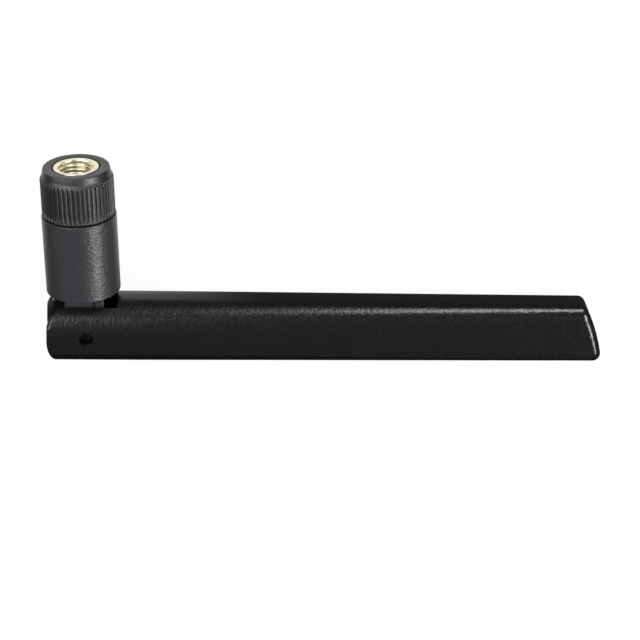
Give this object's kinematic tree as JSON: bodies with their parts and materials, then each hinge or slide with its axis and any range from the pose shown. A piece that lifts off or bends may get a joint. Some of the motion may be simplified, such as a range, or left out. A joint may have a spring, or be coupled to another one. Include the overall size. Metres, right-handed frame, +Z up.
{
  "type": "tilt and swivel network antenna",
  "caption": "Black blade antenna that tilts on a forked hinge, with a swivel sleeve, a knurled grip and a threaded brass coupling nut.",
  "frame": {"origin": "centre of the threaded wall's outer end, just inside the nut's mouth", "axes": "+Y along the plug's axis out of the mouth, +X along the folded blade, +Z up as it lies on its side"},
  "size_m": [0.0999, 0.0421, 0.0132],
  "materials": {
    "nut_brass": "turned, bright gold wash",
    "grip_plastic": "moulded, straight knurl",
    "spring_bronze": "plain wire",
    "shell_brass": "turned, bright gold wash",
    "ptfe": "turned, waxy white",
    "gilt_brass": "gold plated",
    "gasket_rubber": "moulded silicone",
    "ferrule_brass": "nickel plated tube",
    "sleeve_plastic": "moulded, fine sparkle texture",
    "pin_plastic": "moulded",
    "jacket_plastic": "extruded cable jacket",
    "braid_copper": "tinned copper braid and wire",
    "blade_plastic": "moulded, fine sparkle texture",
    "tube_brass": "drawn, bare",
    "solder": "tin solder",
    "shrink_plastic": "shrunk tube",
    "foam": "closed-cell foam"
  },
  "bodies": {
    "swivel": {"connector_shell": "shell_brass", "contact_insulator": "ptfe", "centre_contact": "gilt_brass", "sealing_gasket": "gasket_rubber", "crimp_ferrule": "ferrule_brass", "swivel_sleeve": "sleeve_plastic", "hinge_pin_front": "pin_plastic", "hinge_pin_rear": "pin_plastic", "cable_jacket": "jacket_plastic", "cable_braid": "braid_copper", "cable_dielectric": "ptfe", "cable_core": "braid_copper"},
    "coupling": {"coupling_nut": "nut_brass", "knurled_grip": "grip_plastic", "retaining_ring": "spring_bronze"},
    "blade": {"blade_housing": "blade_plastic", "choke_tube": "tube_brass", "braid_solder": "solder", "radiator_rod": "tube_brass", "feed_shrink": "shrink_plastic", "tube_spacer_rear": "foam", "tube_spacer_front": "foam", "rod_spacer": "foam"}
  },
  "joints": [
    {"name": "nut_spin", "type": "hinge", "parent": "swivel", "child": "coupling", "pos_m": [0, 0, 0], "axis": [0, 1, 0], "continuous": true},
    {"name": "tilt", "type": "hinge", "parent": "swivel", "child": "blade", "pos_m": [0, -0.03025, 0], "axis": [0, 0, 1], "range_deg": [-86.3, 3.7], "deforming": ["cable_jacket", "cable_braid", "cable_dielectric", "cable_core"]}
  ]
}
